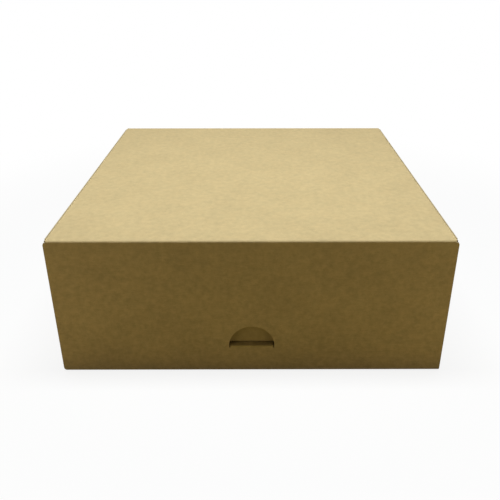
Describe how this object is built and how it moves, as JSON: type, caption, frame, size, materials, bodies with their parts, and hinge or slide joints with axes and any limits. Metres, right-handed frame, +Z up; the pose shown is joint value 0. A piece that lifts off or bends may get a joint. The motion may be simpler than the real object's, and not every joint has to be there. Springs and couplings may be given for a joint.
{
  "type": "pastry box",
  "caption": "Closed square pastry box folded from kraft board, with a lid hinged on its back crease and a front flap held by a half-moon lock tab.",
  "frame": {"origin": "on the ground under the middle of the closed box", "axes": "+X to the right seen from the front, -Y towards the front flap, +Z up"},
  "size_m": [0.26, 0.26, 0.1],
  "materials": {
    "kraft_board": "matte, uncoated"
  },
  "bodies": {
    "tray": {"tray": "kraft_board"},
    "lid": {"lid": "kraft_board"},
    "front_flap": {"front_flap": "kraft_board", "lock_tab": "kraft_board"}
  },
  "joints": [
    {"name": "lid_hinge", "type": "hinge", "parent": "tray", "child": "lid", "pos_m": [0, 0.129, 0.099], "axis": [-1, 0, 0], "range_deg": [0, 175], "deforming": ["lock_tab"]},
    {"name": "front_flap_hinge", "type": "hinge", "parent": "lid", "child": "front_flap", "pos_m": [0, -0.129, 0.099], "axis": [-1, 0, 0], "range_deg": [0, 90], "deforming": ["lock_tab"]}
  ]
}
